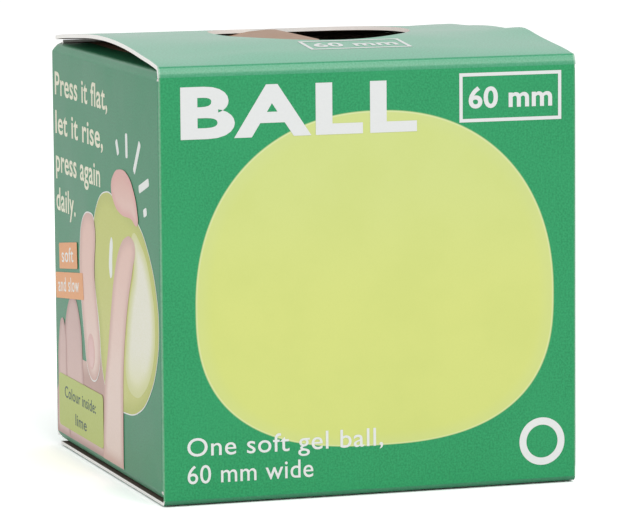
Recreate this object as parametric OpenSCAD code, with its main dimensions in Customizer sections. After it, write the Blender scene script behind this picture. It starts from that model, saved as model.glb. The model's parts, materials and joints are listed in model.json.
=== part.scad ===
/* [Carton] */
// Width across the front, fold to fold
carton_w = 70; // [68:1:90]
// Depth from the front face to the back face
carton_d = 67; // [67:1:90]
// Height up to the top folds
carton_h = 69.5; // [66:0.5:90]
// Thickness of the paperboard
board_t = 0.5; // [0.3:0.1:0.6]
// How far the top lid bows up at its middle
lid_rise = 3; // [3:0.5:5]
// Diameter of the finger hole in the top lid
finger_hole_d = 34; // [15:1:40]

/* [Flaps] */
// Length of each tuck flap below its fold
tuck_len = 14; // [10:1:16]
// Inward lean of the tuck flaps in degrees
tuck_lean = 10; // [9:1:12]
// Length of each dust flap from its fold
dust_len = 33.5; // [24:0.5:33.5]
// Upward lean of the left top dust flap in degrees
dust_lean_left = 3; // [0:0.5:3]
// Droop of the right top dust flap in degrees
dust_droop_right = 4; // [0:0.5:6]
// Width of the glue flap inside the left panel
glue_flap_w = 12; // [8:1:16]

/* [Ball] */
// Diameter of the ball at its widest
ball_d = 60; // [50:1:60]
// Height of the ball as it settles under its own weight
ball_h = 54; // [46:1:56]
// Wall thickness of the ball's skin
skin_t = 1.5; // [1:0.1:2.5]
// Diameter of the filler plug's head
plug_d = 8; // [6:0.5:12]

/* [Hidden] */
$fn = 96;

// Colours of the printed board, its bare inner face and the ball
print_green = [0.22, 0.60, 0.42];
side_green = [0.42, 0.60, 0.51];
lid_green = [0.62, 0.77, 0.68];
bare_board = [0.67, 0.56, 0.48];
ball_lime = [0.84, 0.87, 0.50];
gel_lime = [0.78, 0.83, 0.45];

// Half sizes and the levels of the folds
half_w = carton_w / 2;
half_d = carton_d / 2;
fold_gap = 0.05;             // slit between a panel and the flap that folds from it
side_fold_drop = 0.3;        // the side folds lie this far below the lid's fold
side_bottom = 1.1;           // lower face of the bottom dust flaps
lid_half_w = half_w - 0.25;  // lids are cut a little narrower than the box
lid_end = half_d - 0.9;      // the lids end here, just inside the back panel
back_top = carton_h - 0.2;

// Dust flap outline
dust_front_gap = 2.5;
dust_back_gap = 4;
dust_mitre = 0.5;            // sideways run of the mitred front edge for each step forward
dust_end_half = 14;          // half width of a dust flap's free end
dust_start = 0.1;
dust_corner = 2.5;

// Tuck flap outline
tuck_half_w = half_w - 1.6;
tuck_corner = 7;
tuck_start = 0.65;

// Arch of the top lid
arch_r = (half_d * half_d + lid_rise * lid_rise) / (2 * lid_rise);
arch_centre = carton_h + lid_rise - arch_r;
function arch_z(y) = arch_centre + sqrt(arch_r * arch_r - y * y);

// Ball profile: a dome above the widest ring and a squarer, settled shape below it
ball_clear = 0.35;           // the ball sits this far above the bottom dust flaps
ball_floor = side_bottom + board_t + ball_clear;
ball_belly = 0.43;           // height of the widest ring as a share of the ball's height
belly_z = ball_floor + ball_h * ball_belly;
settle_power = 2 / 2.6;
profile_step = 7.5;
function dome_points(inset) = [
    for (a = [0:profile_step:90])
        [(ball_d / 2 - inset) * cos(a), belly_z + (ball_h * (1 - ball_belly) - inset) * sin(a)]
];
function base_points(inset) = [
    for (a = [90:-profile_step:profile_step])
        [
            (ball_d / 2 - inset) * pow(cos(a), settle_power),
            belly_z - (ball_h * ball_belly - inset) * pow(sin(a), settle_power)
        ]
];

// Filler plug: a flat head in the skin and a stem in the gel
plug_top = ball_floor + ball_h - 0.3;
plug_head_t = skin_t - 0.2;
plug_stem_d = plug_d * 0.7;
plug_stem_len = 3.2;
plug_clear = 0.2;

// Rounded corner: points on an arc about [cx, cy]
function corner(cx, cy, r, from, to) = [
    for (i = [0:6]) [cx + r * cos(from + (to - from) * i / 6), cy + r * sin(from + (to - from) * i / 6)]
];

// A flat upright panel given by its lowest corner and its size
module panel(low, size, tint) {
    color(tint)
        translate(low)
            cube(size);
}

// Outline of a tuck flap: the fold lies along y = 0 and the flap hangs towards -y
module tuck_outline() {
    polygon(concat(
        [[tuck_half_w, -tuck_start]],
        corner(tuck_half_w - 1.5 - tuck_corner, tuck_corner - tuck_len, tuck_corner, 0, -90),
        corner(tuck_corner + 1.5 - tuck_half_w, tuck_corner - tuck_len, tuck_corner, -90, -180),
        [[-tuck_half_w, -tuck_start]]
    ));
}

// A tuck flap standing down from its fold, its outer face on the plane y = 0
module tuck_plate() {
    rotate([-tuck_lean, 0, 0])
        rotate([90, 0, 0])
            linear_extrude(board_t)
                tuck_outline();
}

// Outline of a dust flap: x runs from the fold to the free end, y from front to back
module dust_outline() {
    front_start = dust_front_gap - half_d;
    back_start = half_d - dust_back_gap;
    front_end = front_start + dust_mitre * dust_len;
    polygon([
        [dust_start, front_start],
        [dust_len - dust_corner, front_end - dust_mitre * dust_corner],
        [dust_len, front_end + dust_corner],
        [dust_len, dust_end_half - dust_corner],
        [dust_len - dust_corner, dust_end_half],
        [dust_start, back_start]
    ]);
}

// A dust flap that runs towards +x from its fold at the origin, leaning up by an angle
module dust_plate(lean) {
    rotate([0, -lean, 0])
        translate([0, 0, -board_t])
            linear_extrude(board_t)
                dust_outline();
}

module front_panel() {
    low = board_t + fold_gap;
    panel([-half_w, -half_d, low], [carton_w, board_t, carton_h - 2 * low], print_green);
}

module back_panel() {
    low = side_bottom + board_t;
    panel([-half_w, half_d - board_t, low], [carton_w, board_t, back_top - low], side_green);
}

module side_panel(x) {
    low = side_bottom + board_t + fold_gap;
    high = carton_h - side_fold_drop - board_t - fold_gap;
    panel([x, board_t - half_d, low], [board_t, carton_d - 2 * board_t, high - low], side_green);
}

module left_panel() {
    side_panel(-half_w);
}

module right_panel() {
    side_panel(half_w - board_t);
}

// The glue flap folds in from the back panel and is glued inside the left panel
module glue_flap() {
    taper = 3;
    low = 4;
    high = carton_h - 4;
    color(bare_board)
        translate([board_t - half_w, half_d - board_t, 0])
            rotate([90, 0, 90])
                linear_extrude(board_t)
                    polygon([
                        [0, low],
                        [0, high],
                        [-glue_flap_w, high - taper],
                        [-glue_flap_w, low + taper]
                    ]);
}

module top_lid() {
    color(lid_green)
        difference() {
            intersection() {
                translate([-lid_half_w, 0, arch_centre])
                    rotate([0, 90, 0])
                        difference() {
                            cylinder(h = 2 * lid_half_w, r = arch_r);
                            translate([0, 0, -1])
                                cylinder(h = 2 * lid_half_w + 2, r = arch_r - board_t);
                        }
                translate([-half_w, -half_d, carton_h - 1])
                    cube([carton_w, half_d + lid_end, lid_rise + 2]);
            }
            translate([0, 0, carton_h - 1])
                cylinder(h = lid_rise + 2, d = finger_hole_d);
        }
}

module top_tuck_flap() {
    color(lid_green)
        translate([0, lid_end, arch_z(lid_end)])
            tuck_plate();
}

module top_dust_flap_left() {
    color(bare_board)
        translate([-half_w, 0, carton_h - side_fold_drop])
            dust_plate(dust_lean_left);
}

module top_dust_flap_right() {
    color(bare_board)
        translate([half_w, 0, carton_h - side_fold_drop])
            mirror([1, 0, 0])
                dust_plate(-dust_droop_right);
}

module bottom_lid() {
    panel([-lid_half_w, -half_d, 0], [2 * lid_half_w, half_d + lid_end, board_t], print_green);
}

module bottom_tuck_flap() {
    color(print_green)
        translate([0, lid_end, 0])
            mirror([0, 0, 1])
                tuck_plate();
}

module bottom_dust_flap_left() {
    color(bare_board)
        translate([-half_w, 0, side_bottom])
            mirror([0, 0, 1])
                dust_plate(0);
}

module bottom_dust_flap_right() {
    mirror([1, 0, 0])
        bottom_dust_flap_left();
}

// A solid of the ball's shape, shrunk all round by an inset
module ball_form(inset) {
    rotate_extrude()
        polygon(concat(base_points(inset), dome_points(inset)));
}

module ball_skin() {
    color(ball_lime)
        difference() {
            ball_form(0);
            ball_form(skin_t);
            translate([0, 0, ball_floor + ball_h / 2])
                cylinder(h = ball_h, d = plug_d + 2 * plug_clear);
        }
}

module gel_core() {
    stem_low = plug_top - plug_head_t - plug_stem_len - plug_clear;
    color(gel_lime)
        difference() {
            ball_form(skin_t);
            translate([0, 0, stem_low])
                cylinder(h = ball_h, d = plug_stem_d + 2 * plug_clear);
        }
}

module filler_plug() {
    color(ball_lime) {
        translate([0, 0, plug_top - plug_head_t])
            cylinder(h = plug_head_t, d = plug_d);
        translate([0, 0, plug_top - plug_head_t - plug_stem_len])
            cylinder(h = plug_stem_len, d = plug_stem_d);
    }
}

front_panel();
right_panel();
back_panel();
left_panel();
glue_flap();
top_lid();
top_tuck_flap();
top_dust_flap_left();
top_dust_flap_right();
bottom_lid();
bottom_tuck_flap();
bottom_dust_flap_left();
bottom_dust_flap_right();
ball_skin();
gel_core();
filler_plug();
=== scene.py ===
import json
import math

import bmesh
import bpy
from mathutils import Matrix, Vector


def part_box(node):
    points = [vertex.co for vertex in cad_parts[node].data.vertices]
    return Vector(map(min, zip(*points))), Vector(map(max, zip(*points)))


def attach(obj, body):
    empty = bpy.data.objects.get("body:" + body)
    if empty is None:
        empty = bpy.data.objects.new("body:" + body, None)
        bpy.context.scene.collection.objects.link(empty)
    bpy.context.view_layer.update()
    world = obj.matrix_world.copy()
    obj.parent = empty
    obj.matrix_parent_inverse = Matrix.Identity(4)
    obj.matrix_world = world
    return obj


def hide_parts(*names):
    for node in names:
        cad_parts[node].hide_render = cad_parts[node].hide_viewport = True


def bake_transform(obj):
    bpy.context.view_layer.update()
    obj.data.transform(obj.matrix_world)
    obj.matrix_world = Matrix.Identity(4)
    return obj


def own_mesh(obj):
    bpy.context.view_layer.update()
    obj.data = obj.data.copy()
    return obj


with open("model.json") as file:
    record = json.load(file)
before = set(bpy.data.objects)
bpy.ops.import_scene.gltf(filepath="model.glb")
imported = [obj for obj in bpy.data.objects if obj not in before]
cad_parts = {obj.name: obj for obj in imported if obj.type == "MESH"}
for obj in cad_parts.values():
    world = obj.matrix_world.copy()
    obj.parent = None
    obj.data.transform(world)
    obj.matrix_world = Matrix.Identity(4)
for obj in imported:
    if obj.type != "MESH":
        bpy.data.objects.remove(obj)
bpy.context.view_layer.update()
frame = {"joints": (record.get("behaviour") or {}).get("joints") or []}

mm = 0.001  # sizes are in metres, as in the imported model
folds = [joint for joint in frame["joints"] if joint["type"] == "hinge"]
hinges = {joint["name"]: Vector(joint["pos_m"]) for joint in folds}

# the carton's own sizes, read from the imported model
frontLow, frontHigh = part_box("front_panel")
backLow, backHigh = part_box("back_panel")
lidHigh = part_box("top_lid")[1]
boardThick = frontHigh.y - frontLow.y
halfWidth = frontHigh.x
halfDepth = -frontLow.y
foldTop = hinges["lid_hinge"].z
sideFoldTop = hinges["dust_left_fold"].z
sideFoldBase = hinges["base_dust_left_fold"].z
lidRise = lidHigh.z - foldTop
archRadius = (halfDepth ** 2 + lidRise ** 2) / (2 * lidRise)
archCentre = lidHigh.z - archRadius

alongX = Vector((1, 0, 0))
alongY = Vector((0, 1, 0))
alongZ = Vector((0, 0, 1))


def archHeight(y):
    return archCentre + math.sqrt(archRadius ** 2 - y ** 2)


# small helpers for node materials

def newMaterial(name):
    material = bpy.data.materials.new(name)
    material.use_nodes = True
    tree = material.node_tree
    return material, tree, tree.nodes["Principled BSDF"]


def addNode(tree, kind, inputs=None, **settings):
    node = tree.nodes.new(kind)
    for key, value in settings.items():
        setattr(node, key, value)
    for key, value in (inputs or {}).items():
        if isinstance(value, bpy.types.NodeSocket):
            tree.links.new(value, node.inputs[key])
        else:
            node.inputs[key].default_value = value
    return node


def calc(tree, operation, first, second=0.0, clamp=False):
    node = addNode(tree, "ShaderNodeMath", {0: first, 1: second}, operation=operation)
    node.use_clamp = clamp
    return node.outputs[0]


def rangeOf(tree, value, fromMin, fromMax, toMin=0.0, toMax=1.0):
    # smooth step between two levels
    inputs = {"Value": value, "From Min": fromMin, "From Max": fromMax, "To Min": toMin, "To Max": toMax}
    node = addNode(tree, "ShaderNodeMapRange", inputs, interpolation_type="SMOOTHSTEP")
    return node.outputs["Result"]


def smooth(value):
    # eases from 0 to 1 as a value goes from 0 to 1
    share = min(1.0, max(0.0, value))
    return share * share * (3 - 2 * share)


def ramp(value, start, end):
    # eases from 0 to 1 as a value goes from a start to an end, in either direction
    return smooth((value - start) / (end - start))


def noiseOf(tree, place, scale, detail=2.0, roughness=0.5):
    inputs = {"Vector": place, "Scale": scale, "Detail": detail, "Roughness": roughness}
    return addNode(tree, "ShaderNodeTexNoise", inputs).outputs["Fac"]


def mixTone(tree, share, first, second):
    node = addNode(tree, "ShaderNodeMix", data_type="RGBA")
    for socket, value in ((node.inputs[0], share), (node.inputs[6], first), (node.inputs[7], second)):
        if isinstance(value, bpy.types.NodeSocket):
            tree.links.new(value, socket)
        elif isinstance(value, float):
            socket.default_value = value
        else:
            socket.default_value = (*value, 1.0)
    return node.outputs[2]


def addBump(tree, shader, height, strength, distance):
    node = addNode(tree, "ShaderNodeBump", {"Height": height, "Strength": strength, "Distance": distance})
    tree.links.new(node.outputs["Normal"], shader.inputs["Normal"])


def objectPlace(tree):
    return addNode(tree, "ShaderNodeTexCoord").outputs["Object"]


def blankPlace(tree):
    # flat position on the unfolded blank, in metres
    return addNode(tree, "ShaderNodeUVMap", uv_map="blank").outputs["UV"]


# board materials

boardLook = {
    "frontInk": (0.004, 0.312, 0.106),
    # the green on every panel but the front and lid is a darker copy of the front's print: painted shade
    "sideShadedInk": (0.008, 0.225, 0.095),
    # the lid's green is paler than the same print elsewhere: a painted sheen; the band ink is the lid's
    # fold band without it
    "lidSheenInk": (0.085, 0.425, 0.250),
    "bandInk": (0.010, 0.300, 0.125),
    "deepShare": 0.87,
    "paleGain": 1.14,
    "paleLift": 0.012,
    "paperWhite": (0.80, 0.84, 0.78),
    "bare": (0.46, 0.29, 0.19),
    "bareDark": (0.34, 0.20, 0.13),
    # the inside board is kept dark as painted shade, so the gaps and the view through the hole look dark
    "inside": (0.17, 0.13, 0.10),
    "insideDark": (0.12, 0.09, 0.07),
    "cut": (0.96, 0.945, 0.915),
    "cutDark": (0.90, 0.885, 0.85),
    "lidCoat": 1.0,
    "coat": 0.55,
    "coatRough": 0.24,
    "grainScale": 3200.0,
    "cloudScale": 60.0,
    "chipScale": 900.0,
    "fibreScale": 500.0,
    "surfaceScale": 1400.0,
    "surfaceDepth": 0.02 * mm,
    "bandEdge": 0.6 * mm,
    "bareEdge": 0.3 * mm,
    "bareWander": 1.2 * mm,
}


def printedBoard(name, ink, creases=(), bareFrom=None, picture=None, coat=boardLook["coat"], band=None):
    # satin print on coated board; creases are (axis, place, half width, strength); band is a
    # fold's depth along the blank, up to which the band ink is used, darker than the lid ink with its
    # painted sheen
    look = boardLook
    material, tree, shader = newMaterial(name)
    blank = blankPlace(tree)
    grain = noiseOf(tree, blank, look["grainScale"], 2.0)
    cloud = noiseOf(tree, blank, look["cloudScale"], 3.0)
    pale = tuple(min(1.0, channel * look["paleGain"] + look["paleLift"]) for channel in ink)
    deep = tuple(channel * look["deepShare"] for channel in ink)
    tone = mixTone(tree, rangeOf(tree, grain, 0.3, 0.7), deep, pale)
    tone = mixTone(tree, rangeOf(tree, cloud, 0.35, 0.75, 0.0, 0.35), tone, pale)
    if picture:
        tone = picture(tree, tone, grain)
    axes = addNode(tree, "ShaderNodeSeparateXYZ", {"Vector": blank})
    # on the fold band the deeper band ink takes over from the lid ink's painted sheen
    if band:
        folded = mixTone(tree, rangeOf(tree, grain, 0.3, 0.7, 0.0, 0.3), look["bandInk"], pale)
        pastBand = rangeOf(tree, axes.outputs["Y"], band, band + look["bandEdge"])
        tone = mixTone(tree, pastBand, folded, tone)
    chips = noiseOf(tree, blank, look["chipScale"], 3.0, 0.7)
    for axis, place, reach, strength in creases:
        away = calc(tree, "ABSOLUTE", calc(tree, "SUBTRACT", axes.outputs[axis], place))
        near = rangeOf(tree, away, 0.15 * reach, reach, strength, 0.0)
        worn = calc(tree, "MULTIPLY", near, rangeOf(tree, chips, 0.3, 0.62, 0.6, 1.0), clamp=True)
        tone = mixTone(tree, worn, tone, look["paperWhite"])
    if bareFrom is not None:
        wander = calc(tree, "MULTIPLY", calc(tree, "SUBTRACT", cloud, 0.5), look["bareWander"])
        past = calc(tree, "ADD", axes.outputs["Y"], wander)
        fibre = noiseOf(tree, blank, look["fibreScale"], 4.0, 0.7)
        bare = mixTone(tree, fibre, look["bareDark"], look["bare"])
        isBare = rangeOf(tree, past, bareFrom, bareFrom + look["bareEdge"])
        tone = mixTone(tree, isBare, tone, bare)
    tree.links.new(tone, shader.inputs["Base Color"])
    smudge = rangeOf(tree, cloud, 0.3, 0.7, 0.36, 0.46)
    rough = calc(tree, "ADD", smudge, calc(tree, "MULTIPLY", grain, 0.06))
    tree.links.new(rough, shader.inputs["Roughness"])
    varnish(shader, coat)
    if bareFrom is not None:
        tree.links.new(rangeOf(tree, isBare, 0.0, 1.0, coat, 0.0), shader.inputs["Coat Weight"])
    addBump(tree, shader, noiseOf(tree, blank, look["surfaceScale"], 3.0), 0.25, look["surfaceDepth"])
    return material


def varnish(shader, coat=boardLook["coat"]):
    # the satin varnish over all the print
    shader.inputs["Specular IOR Level"].default_value = 0.3
    shader.inputs["Coat Weight"].default_value = coat
    shader.inputs["Coat Roughness"].default_value = boardLook["coatRough"]


def rawBoard(name, light, dark, scale):
    # unprinted board with its fibres
    material, tree, shader = newMaterial(name)
    place = objectPlace(tree)
    stretched = addNode(tree, "ShaderNodeMapping", {"Vector": place, "Scale": (1.0, 1.0, 2.5)}).outputs[0]
    fibre = noiseOf(tree, stretched, scale, 5.0, 0.7)
    tone = mixTone(tree, rangeOf(tree, fibre, 0.32, 0.68), dark, light)
    tree.links.new(tone, shader.inputs["Base Color"])
    tree.links.new(rangeOf(tree, fibre, 0.2, 0.8, 0.78, 0.95), shader.inputs["Roughness"])
    shader.inputs["Specular IOR Level"].default_value = 0.3
    addBump(tree, shader, fibre, 0.5, 0.04 * mm)
    return material


# the inner faces of the board are painted dark, as painted shade in the carton's gaps
shadedInsideBoard = rawBoard("shaded_inside_board", boardLook["inside"], boardLook["insideDark"], 700.0)
cutBoard = rawBoard("cut_board", boardLook["cut"], boardLook["cutDark"], 2600.0)


# folding flat blanks

bendStep = {"turn": 7.5, "length": 2.5 * mm}  # a bend is cut at least this finely


def walkPath(path, distance):
    # place and heading after going a distance along a chain of lines and arcs; the place is
    # (along the path's run, out from it)
    ahead, outward = path["start"]
    heading = math.radians(path["heading"])
    rest = distance
    for number, (length, turn) in enumerate(path["runs"]):
        last = number == len(path["runs"]) - 1
        step = rest if last else min(rest, length)
        rate = math.radians(turn) / length
        if abs(rate) < 1e-9:
            ahead += step * math.cos(heading)
            outward += step * math.sin(heading)
        else:
            ahead += (math.sin(heading + rate * step) - math.sin(heading)) / rate
            outward += (math.cos(heading) - math.cos(heading + rate * step)) / rate
            heading += rate * step
        rest -= step
        if rest <= 0:
            break
    return ahead, outward, heading


def placeOn(path, across, along, lift=0.0):
    # a place on the blank, folded along its path; lift is out from the printed face
    ahead, outward, heading = walkPath(path, along)
    ahead -= lift * math.sin(heading)
    outward += lift * math.cos(heading)
    side = path["run"].cross(path["out"])
    return side * across + path["run"] * ahead + path["out"] * outward


def pathLength(path):
    return sum(length for length, turn in path["runs"])


def bendCuts(path):
    # where the blank is cut across so that it can bend
    cuts = []
    gone = 0.0
    for length, turn in path["runs"]:
        count = 1
        if turn:
            count = max(math.ceil(abs(turn) / bendStep["turn"]), math.ceil(length / bendStep["length"]))
        cuts += [gone + length * number / count for number in range(count)]
        gone += length
    return cuts[1:]


def sliceFlat(flat, places, normal):
    for place in places:
        everything = flat.verts[:] + flat.edges[:] + flat.faces[:]
        bmesh.ops.bisect_plane(flat, geom=everything, plane_co=Vector(normal) * place, plane_no=normal)


def faceUp(flat):
    flat.normal_update()
    for face in flat.faces:
        if face.normal.z < 0:
            face.normal_flip()


def settle(piece, sharpAngle=35):
    # apply the modifiers, so that the mesh is final
    graph = bpy.context.evaluated_depsgraph_get()
    made = bpy.data.meshes.new_from_object(piece.evaluated_get(graph))
    piece.modifiers.clear()
    piece.data = made
    made.name = piece.name
    made.shade_smooth()
    made.set_sharp_from_angle(angle=math.radians(sharpAngle))
    return piece


def newPiece(name, shape, materials):
    # makes a piece of a finished bmesh
    mesh = bpy.data.meshes.new(name)
    shape.to_mesh(mesh)
    shape.free()
    piece = bpy.data.objects.new(name, mesh)
    bpy.context.scene.collection.objects.link(piece)
    for material in materials:
        mesh.materials.append(material)
    return piece


def foldBoard(name, path, corners, printed, hole=None, crossCuts=(), warp=None, thick=boardThick):
    # corners are (across, along, radius) on the flat blank
    flat = bmesh.new()
    ring = [flat.verts.new((across, along, 0)) for across, along, radius in corners]
    flat.faces.new(ring)
    for vert, corner in zip(ring, corners):
        if corner[2]:
            bmesh.ops.bevel(
                flat, geom=[vert], offset=corner[2], segments=6, profile=0.5, affect="VERTICES",
                material=-1,
            )
    if hole:
        centre = Matrix.Translation((hole["across"], hole["along"], 0))
        bmesh.ops.create_circle(flat, cap_ends=False, segments=96, radius=hole["radius"], matrix=centre)
        bmesh.ops.delete(flat, geom=flat.faces[:], context="FACES_ONLY")
        bmesh.ops.triangle_fill(flat, use_beauty=True, use_dissolve=False, edges=flat.edges[:])
    sliceFlat(flat, bendCuts(path), (0, 1, 0))
    sliceFlat(flat, crossCuts, (1, 0, 0))
    faceUp(flat)
    layer = flat.loops.layers.uv.new("blank")
    for face in flat.faces:
        for loop in face.loops:
            loop[layer].uv = loop.vert.co.xy
    for vert in flat.verts:
        across, along = vert.co.x, vert.co.y
        vert.co = placeOn(path, across, along)
        if warp:
            vert.co += warp(across, along)
    # the inner faces take the dark inside board, a painted shade
    piece = newPiece(name, flat, (printed, shadedInsideBoard, cutBoard))
    wall = piece.modifiers.new("board", "SOLIDIFY")
    wall.thickness = thick
    wall.offset = -1
    wall.use_even_offset = True
    wall.material_offset = 1
    wall.material_offset_rim = 2
    return settle(piece)


# the lid: a fold band along the front, then a long arch

lidShape = {
    "creaseTurn": 27.0,
    "creaseRun": 1.0 * mm,
    "bandRun": 0.5 * mm,
    "foldRun": 0.55 * mm,
    "thick": 0.65 * mm,
    "tuckFold": 1.0 * mm,
    "bandInset": 0.3 * mm,
    "sideGap": 0.12 * mm,
    "shoulderRun": 0.6 * mm,
    "endTaper": 0.0,
    "taperRun": 9 * mm,
    "holeRadius": 16.8 * mm,
    "holeShift": 0.45 * mm,
    "crossCuts": 12,
}

# the lid's small waves: how high each is, and where it grows from nothing to its full height
lidWaves = {
    "frontLift": 0.3 * mm,
    "frontDepth": (-21 * mm, -32 * mm),
    "lipLift": 0.36 * mm,
    "lipCentre": -2 * mm,
    "lipAcross": (27 * mm, 13 * mm),
    "lipBehind": (-4 * mm, -15 * mm),
    "lipBefore": (-33 * mm, -25 * mm),
    "rightSag": 0.5 * mm,
    "sagAcross": (8 * mm, 35 * mm),
    "sagBefore": (-9 * mm, -2 * mm),
    "sagBehind": (30 * mm, 16 * mm),
    "rightRidge": 0.42 * mm,
    "ridgeAcross": (27 * mm, 35 * mm),
    "ridgeAt": -10.5 * mm,
    "ridgeReach": 4.5 * mm,
    "endDepth": (8 * mm, 34 * mm),
    "leftEndLift": 0.8 * mm,
    "leftEndAcross": (-12 * mm, -35 * mm),
    "rightEndLift": 0.6 * mm,
    "rightEndAcross": (18 * mm, 35 * mm),
}


def lidPathOf(shape):
    # the fold ends on the arch; its start height follows from that
    def pathFrom(start, heading, archRun, archTurn):
        total = 90.0 - heading
        return {
            "start": start, "heading": 90.0, "run": alongY, "out": alongZ,
            "runs": [
                (shape["creaseRun"], -shape["creaseTurn"]),
                (shape["bandRun"], 0.0),
                (shape["foldRun"], shape["creaseTurn"] - total),
                (archRun, archTurn),
            ],
        }

    foldLength = shape["creaseRun"] + shape["bandRun"] + shape["foldRun"]
    slope = math.degrees(math.asin(halfDepth / archRadius))
    for attempt in range(4):  # a few rounds settle where the fold meets the arch
        endY, rise, heading = walkPath(pathFrom((-halfDepth, 0.0), slope, 1.0, 0.0), foldLength)
        slope = math.degrees(math.asin(-endY / archRadius))
    startZ = archHeight(endY) - rise
    farY = lidHigh.y - shape["tuckFold"]
    endSlope = math.degrees(math.asin(farY / archRadius))
    archRun = archRadius * math.radians(slope + endSlope)
    path = pathFrom((-halfDepth, startZ), slope, archRun, -(slope + endSlope))
    path["foldLength"] = foldLength
    path["foldEndY"] = endY
    return path


lidPath = lidPathOf(lidShape)
frontTop = lidPath["start"][1] + lidWaves["frontLift"]
lidLength = pathLength(lidPath)


def lidAlong(y):
    # distance along the lid's blank at a depth y
    turned = math.asin(y / archRadius) - math.asin(lidPath["foldEndY"] / archRadius)
    return lidPath["foldLength"] + archRadius * turned


def lidWarp(across, along):
    # the lid stands a little high at its front fold, along the hole's near edge and at its two
    # back corners, and its right-hand edge sags behind a small ridge
    waves = lidWaves
    y = walkPath(lidPath, along)[0]
    rise = waves["frontLift"] * ramp(y, *waves["frontDepth"])
    inMiddle = ramp(abs(across - waves["lipCentre"]), *waves["lipAcross"])
    rise += waves["lipLift"] * inMiddle * ramp(y, *waves["lipBehind"]) * ramp(y, *waves["lipBefore"])
    sag = ramp(across, *waves["sagAcross"]) * ramp(y, *waves["sagBefore"]) * ramp(y, *waves["sagBehind"])
    rise -= waves["rightSag"] * sag
    ridge = math.exp(-((y - waves["ridgeAt"]) / waves["ridgeReach"]) ** 2)
    rise += waves["rightRidge"] * ramp(across, *waves["ridgeAcross"]) * ridge
    atEnd = ramp(y, *waves["endDepth"]) ** 2
    rise += waves["rightEndLift"] * ramp(across, *waves["rightEndAcross"]) * atEnd
    rise += waves["leftEndLift"] * ramp(across, *waves["leftEndAcross"]) * atEnd
    return alongZ * rise


def buildLid():
    shape = lidShape
    foldLength = lidPath["foldLength"]
    half = lidHigh.x
    narrow = half - shape["endTaper"]
    # the lid's pale ink carries a painted sheen, and its fold band is left without it
    printed = printedBoard("lid_print_sheen", boardLook["lidSheenInk"], creases=(
        ("Y", 0.5 * shape["creaseRun"], 0.8 * mm, 0.05),
        ("Y", lidLength, 0.8 * mm, 0.20),
        ("X", half, 0.22 * mm, 0.40),
        ("X", -half, 0.22 * mm, 0.40),
    ), coat=boardLook["lidCoat"], band=foldLength - shape["bandInset"])
    flush = halfWidth - shape["sideGap"]
    shoulder = 0.8 * foldLength
    shoulderEnd = foldLength + shape["shoulderRun"]
    taperStart = lidLength - shape["taperRun"]
    corners = (
        (-flush, 0.0, 0), (flush, 0.0, 0), (flush, shoulder, 0), (half, shoulderEnd, 0),
        (half, taperStart, 0), (narrow, lidLength, 0), (-narrow, lidLength, 0), (-half, taperStart, 0),
        (-half, shoulderEnd, 0), (-flush, shoulder, 0),
    )
    hole = {"across": shape["holeShift"], "along": lidAlong(0.0), "radius": shape["holeRadius"]}
    cuts = shape["crossCuts"]
    crossCuts = [half * number / cuts for number in range(1 - cuts, cuts)]
    lid = foldBoard("lid", lidPath, corners, printed, hole, crossCuts, lidWarp, shape["thick"])
    placeOn(lidPath, 0, 0)
    placeOn(lidPath, 0, foldLength)
    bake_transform(lid)
    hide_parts("top_lid")
    print("lid folded, length", round(lidLength / mm, 2), "mm")


buildLid()


# the four walls of the sleeve

wallShape = {
    "corner": 0.6 * mm,
    "baseFold": 0.8 * mm,
    "backCorner": 2.0 * mm,
    "bulge": 0.3 * mm,
    "bulgeCuts": 24,
    "bulgeCrossCuts": 12,
    "baseLift": 0.25 * mm,
}


def wallPath(run, out, width, reach):
    # from the middle of one upright fold to the middle of the next
    radius = wallShape["corner"]
    inset = radius * (1 - math.cos(math.radians(45)))
    quarter = radius * math.radians(45)
    return {
        "start": (inset - width / 2, reach - inset), "heading": 45.0, "run": run, "out": out,
        "runs": [(quarter, -45.0), (width - 2 * radius, 0.0), (quarter, -45.0)],
    }


pictureLook = {
    "centreX": 0.9 * mm,
    "beltZ": 31.4 * mm,
    "halfWidth": 30.1 * mm,
    "above": 30.5 * mm,
    "below": 23.3 * mm,
    "powerAbove": 2.2,
    "powerBelow": 2.6,
    "middle": (0.700, 0.755, 0.215),
    "top": (0.655, 0.735, 0.250),
    "rim": (0.640, 0.720, 0.290),
    "shade": (0.600, 0.680, 0.180),
    "edge": (0.80, 0.86, 0.52),
    "edgeAt": 0.997,
    "edgeEnd": 1.006,
    "edgeFineness": 140.0,
}


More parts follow.
